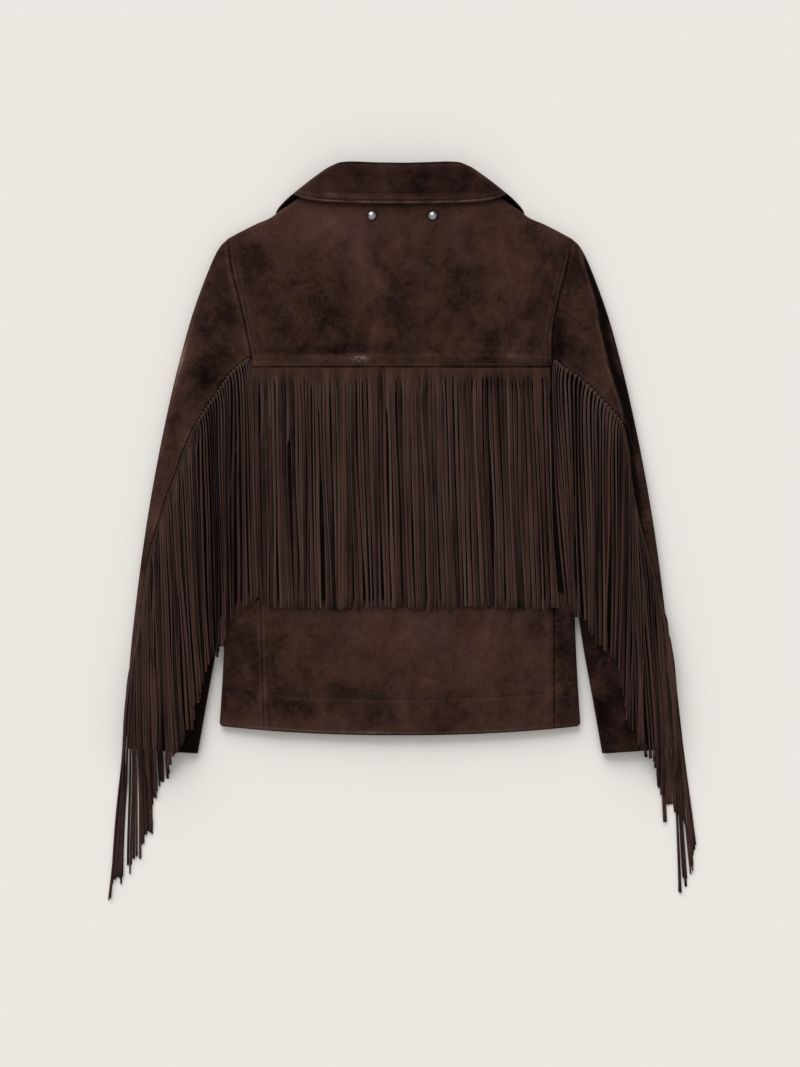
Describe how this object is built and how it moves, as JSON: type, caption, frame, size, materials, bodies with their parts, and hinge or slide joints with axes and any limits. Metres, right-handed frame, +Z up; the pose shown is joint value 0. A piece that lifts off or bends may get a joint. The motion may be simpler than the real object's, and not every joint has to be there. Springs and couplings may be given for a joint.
{
  "type": "fringed suede jacket laid face down",
  "caption": "Dark brown suede jacket with long fringe across the back and down the sleeves, laid flat, back up.",
  "frame": {"origin": "on the floor, under the middle of the laid jacket's outline", "axes": "+Y towards the collar, +X towards the wearer's right sleeve, +Z up, away from the floor"},
  "size_m": [0.7007, 0.8932, 0.0273],
  "materials": {
    "suede": "napped suede, matt, mottled where the nap lies differently",
    "collar_suede": "napped suede, matt, rubbed smoother along the turned edge",
    "fringe_suede": "cut suede strands, matt",
    "stud_metal": "polished nickel"
  },
  "bodies": {
    "root": {"back_yoke": "suede", "back_centre": "suede", "back_side_left": "suede", "back_side_right": "suede", "front_left": "suede", "front_right": "suede", "sleeve_top_left": "suede", "sleeve_top_right": "suede", "sleeve_under_left": "suede", "sleeve_under_right": "suede", "collar_leaf": "collar_suede", "collar_stand": "collar_suede", "fringe_back": "fringe_suede", "fringe_sleeve_left": "fringe_suede", "fringe_sleeve_right": "fringe_suede", "stud_left": "stud_metal", "stud_right": "stud_metal"}
  },
  "joints": []
}
